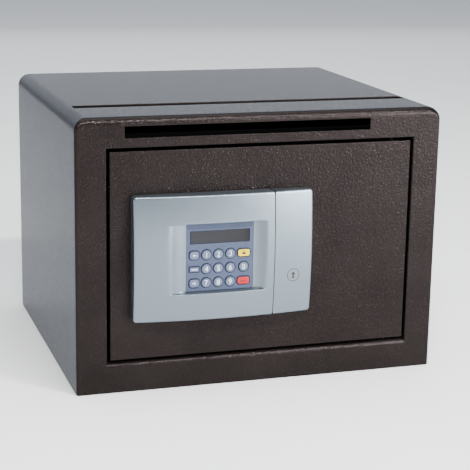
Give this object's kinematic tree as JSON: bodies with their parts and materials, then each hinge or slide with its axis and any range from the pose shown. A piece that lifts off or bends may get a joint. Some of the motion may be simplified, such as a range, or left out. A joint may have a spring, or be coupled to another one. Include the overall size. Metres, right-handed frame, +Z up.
{
  "type": "deposit safe",
  "caption": "Small steel deposit safe with a letter slot in the front header, a hinged door and an electronic keypad lock that drives round bolts.",
  "frame": {"origin": "centre of the footprint of the whole part, on the surface that it stands on", "axes": "+X to the right seen from the front, the door and keypad face -Y, +Z up"},
  "size_m": [0.35, 0.3177, 0.255],
  "materials": {
    "hammered_paint": "dark brown hammered powder coat with fine bright flecks",
    "silver_plastic": "satin silver moulded plastic",
    "keypad_blue": "satin blue-grey plastic",
    "key_blue": "satin blue-grey plastic with white printing",
    "key_yellow": "satin yellow plastic",
    "key_red": "satin red plastic",
    "display_glass": "smoked clear plastic over an unlit display",
    "bright_steel": "machined steel",
    "zinc_plate": "zinc plated sheet",
    "brass": "turned brass",
    "black_plastic": "moulded black plastic",
    "matt_black": "matt black lining",
    "circuit_board": "green solder mask",
    "felt": "needle felt",
    "cell_wrap": "plain blue shrink wrap with a bare steel terminal"
  },
  "bodies": {
    "cabinet": {"front_frame": "hammered_paint", "body_wrap": "hammered_paint", "back_panel": "hammered_paint", "floor_panel": "hammered_paint", "deposit_chute": "matt_black", "hanging_baffle": "matt_black", "strike_plate": "zinc_plate", "hinge_bracket_lower": "hammered_paint", "hinge_bracket_upper": "hammered_paint", "hinge_pin_lower": "hammered_paint", "hinge_pin_upper": "hammered_paint", "floor_mat": "felt"},
    "door": {"door_plate": "hammered_paint", "door_pan": "hammered_paint", "inner_cover": "hammered_paint", "hinge_knuckle_lower": "hammered_paint", "hinge_knuckle_upper": "hammered_paint", "cover_screw_1": "bright_steel", "cover_screw_2": "bright_steel", "cover_screw_3": "bright_steel", "cover_screw_4": "bright_steel", "lock_casing": "silver_plastic", "keypad_plate": "keypad_blue", "display_window": "display_glass", "display_module": "black_plastic", "keypad_board": "circuit_board", "guide_post_left": "bright_steel", "guide_post_right": "bright_steel", "gear_motor": "black_plastic", "lock_cylinder": "brass", "battery_box": "black_plastic", "battery_1": "cell_wrap", "battery_2": "cell_wrap", "battery_3": "cell_wrap", "battery_4": "cell_wrap"},
    "bolts": {"bolt_bar": "bright_steel", "bolt_lower": "bright_steel", "bolt_upper": "bright_steel"},
    "motor_pinion": {"motor_pinion": "brass"},
    "lock_plug": {"lock_plug": "zinc_plate", "lock_cam": "bright_steel"},
    "pull_off_cover": {"pull_off_cover": "silver_plastic"},
    "battery_cover": {"battery_cover": "black_plastic"},
    "key_function_top": {"key_function_top": "key_blue"},
    "key_1": {"key_1": "key_blue"},
    "key_2": {"key_2": "key_blue"},
    "key_3": {"key_3": "key_blue"},
    "key_yellow": {"key_yellow": "key_yellow"},
    "key_function_middle": {"key_function_middle": "key_blue"},
    "key_4": {"key_4": "key_blue"},
    "key_5": {"key_5": "key_blue"},
    "key_6": {"key_6": "key_blue"},
    "key_0": {"key_0": "key_blue"},
    "key_function_bottom": {"key_function_bottom": "key_blue"},
    "key_7": {"key_7": "key_blue"},
    "key_8": {"key_8": "key_blue"},
    "key_9": {"key_9": "key_blue"},
    "key_red": {"key_red": "key_red"}
  },
  "joints": [
    {"name": "door_hinge", "type": "hinge", "parent": "cabinet", "child": "door", "pos_m": [0.1282, -0.13252, 0.12775], "axis": [0, 0, 1], "range_deg": [0, 100]},
    {"name": "bolt_slide", "type": "slide", "parent": "door", "child": "bolts", "axis": [-1, 0, 0], "range_m": [0, 0.014]},
    {"name": "pinion_spin", "type": "hinge", "parent": "door", "child": "motor_pinion", "pos_m": [-0.05, -0.11837, 0.11675], "axis": [0, -1, 0], "range_deg": [0, 134]},
    {"name": "lock_turn", "type": "hinge", "parent": "door", "child": "lock_plug", "pos_m": [0.026, -0.13112, 0.12645], "axis": [0, 1, 0], "range_deg": [0, 90]},
    {"name": "pull_cover_slide", "type": "slide", "parent": "door", "child": "pull_off_cover", "axis": [0, -1, 0], "range_m": [0, 0.025]},
    {"name": "battery_cover_slide", "type": "slide", "parent": "door", "child": "battery_cover", "axis": [-1, 0, 0], "range_m": [0, 0.03]},
    {"name": "key_function_top_press", "type": "slide", "parent": "door", "child": "key_function_top", "axis": [0, 1, 0], "range_m": [0, 0.001], "stiffness_N_per_m": 600},
    {"name": "key_1_press", "type": "slide", "parent": "door", "child": "key_1", "axis": [0, 1, 0], "range_m": [0, 0.001], "stiffness_N_per_m": 600},
    {"name": "key_2_press", "type": "slide", "parent": "door", "child": "key_2", "axis": [0, 1, 0], "range_m": [0, 0.001], "stiffness_N_per_m": 600},
    {"name": "key_3_press", "type": "slide", "parent": "door", "child": "key_3", "axis": [0, 1, 0], "range_m": [0, 0.001], "stiffness_N_per_m": 600},
    {"name": "key_yellow_press", "type": "slide", "parent": "door", "child": "key_yellow", "axis": [0, 1, 0], "range_m": [0, 0.001], "stiffness_N_per_m": 600},
    {"name": "key_function_middle_press", "type": "slide", "parent": "door", "child": "key_function_middle", "axis": [0, 1, 0], "range_m": [0, 0.001], "stiffness_N_per_m": 600},
    {"name": "key_4_press", "type": "slide", "parent": "door", "child": "key_4", "axis": [0, 1, 0], "range_m": [0, 0.001], "stiffness_N_per_m": 600},
    {"name": "key_5_press", "type": "slide", "parent": "door", "child": "key_5", "axis": [0, 1, 0], "range_m": [0, 0.001], "stiffness_N_per_m": 600},
    {"name": "key_6_press", "type": "slide", "parent": "door", "child": "key_6", "axis": [0, 1, 0], "range_m": [0, 0.001], "stiffness_N_per_m": 600},
    {"name": "key_0_press", "type": "slide", "parent": "door", "child": "key_0", "axis": [0, 1, 0], "range_m": [0, 0.001], "stiffness_N_per_m": 600},
    {"name": "key_function_bottom_press", "type": "slide", "parent": "door", "child": "key_function_bottom", "axis": [0, 1, 0], "range_m": [0, 0.001], "stiffness_N_per_m": 600},
    {"name": "key_7_press", "type": "slide", "parent": "door", "child": "key_7", "axis": [0, 1, 0], "range_m": [0, 0.001], "stiffness_N_per_m": 600},
    {"name": "key_8_press", "type": "slide", "parent": "door", "child": "key_8", "axis": [0, 1, 0], "range_m": [0, 0.001], "stiffness_N_per_m": 600},
    {"name": "key_9_press", "type": "slide", "parent": "door", "child": "key_9", "axis": [0, 1, 0], "range_m": [0, 0.001], "stiffness_N_per_m": 600},
    {"name": "key_red_press", "type": "slide", "parent": "door", "child": "key_red", "axis": [0, 1, 0], "range_m": [0, 0.001], "stiffness_N_per_m": 600}
  ],
  "couplings": [
    {"joint": "pinion_spin", "follows": "bolt_slide", "rad_per_m": 166.67}
  ]
}
